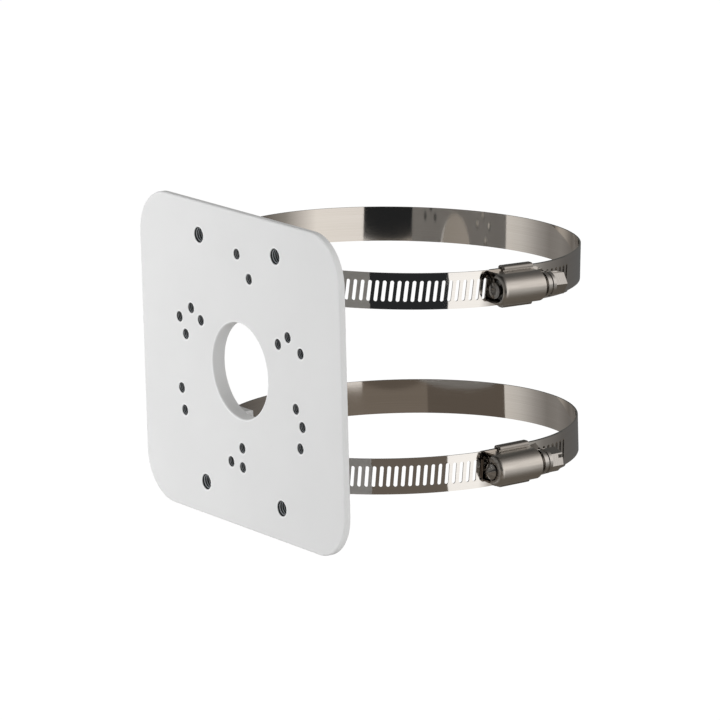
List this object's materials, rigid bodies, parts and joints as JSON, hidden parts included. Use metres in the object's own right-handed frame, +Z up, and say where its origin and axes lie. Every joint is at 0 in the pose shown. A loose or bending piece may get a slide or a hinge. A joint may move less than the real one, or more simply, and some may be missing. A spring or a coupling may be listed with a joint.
{
  "type": "camera pole mount bracket",
  "caption": "Square plate with rounded corners, a cable hole and threaded camera holes, with ears behind it that seat on a pole and two worm-drive band clamps that go round the pole.",
  "frame": {"origin": "centre of the cable hole and of the hole patterns, on the plate's front face", "axes": "-Y out of the plate's front towards the camera, +Y towards the pole, +Z up along the pole, +X to the side of the clamp screws"},
  "size_m": [0.1496, 0.1433, 0.1224],
  "materials": {
    "painted_plate": "white powder coat, satin",
    "band_steel": "bright rolled stainless strip",
    "housing_steel": "satin pressed stainless sheet",
    "screw_steel": "turned stainless, slightly dull"
  },
  "bodies": {
    "bracket": {"mounting_plate": "painted_plate", "upper_band": "band_steel", "upper_saddle": "housing_steel", "upper_housing": "housing_steel", "lower_band": "band_steel", "lower_saddle": "housing_steel", "lower_housing": "housing_steel"},
    "upper_screw": {"upper_worm_screw": "screw_steel"},
    "lower_screw": {"lower_worm_screw": "screw_steel"}
  },
  "joints": [
    {"name": "upper_screw_turn", "type": "hinge", "parent": "bracket", "child": "upper_screw", "pos_m": [0.07447, 0.0758, 0.0336], "axis": [-0.0288, 0.9985, -0.0462], "continuous": true},
    {"name": "lower_screw_turn", "type": "hinge", "parent": "bracket", "child": "lower_screw", "pos_m": [0.07362, 0.07346, -0.03493], "axis": [-0.0183, 0.9998, -0.0109], "continuous": true}
  ]
}
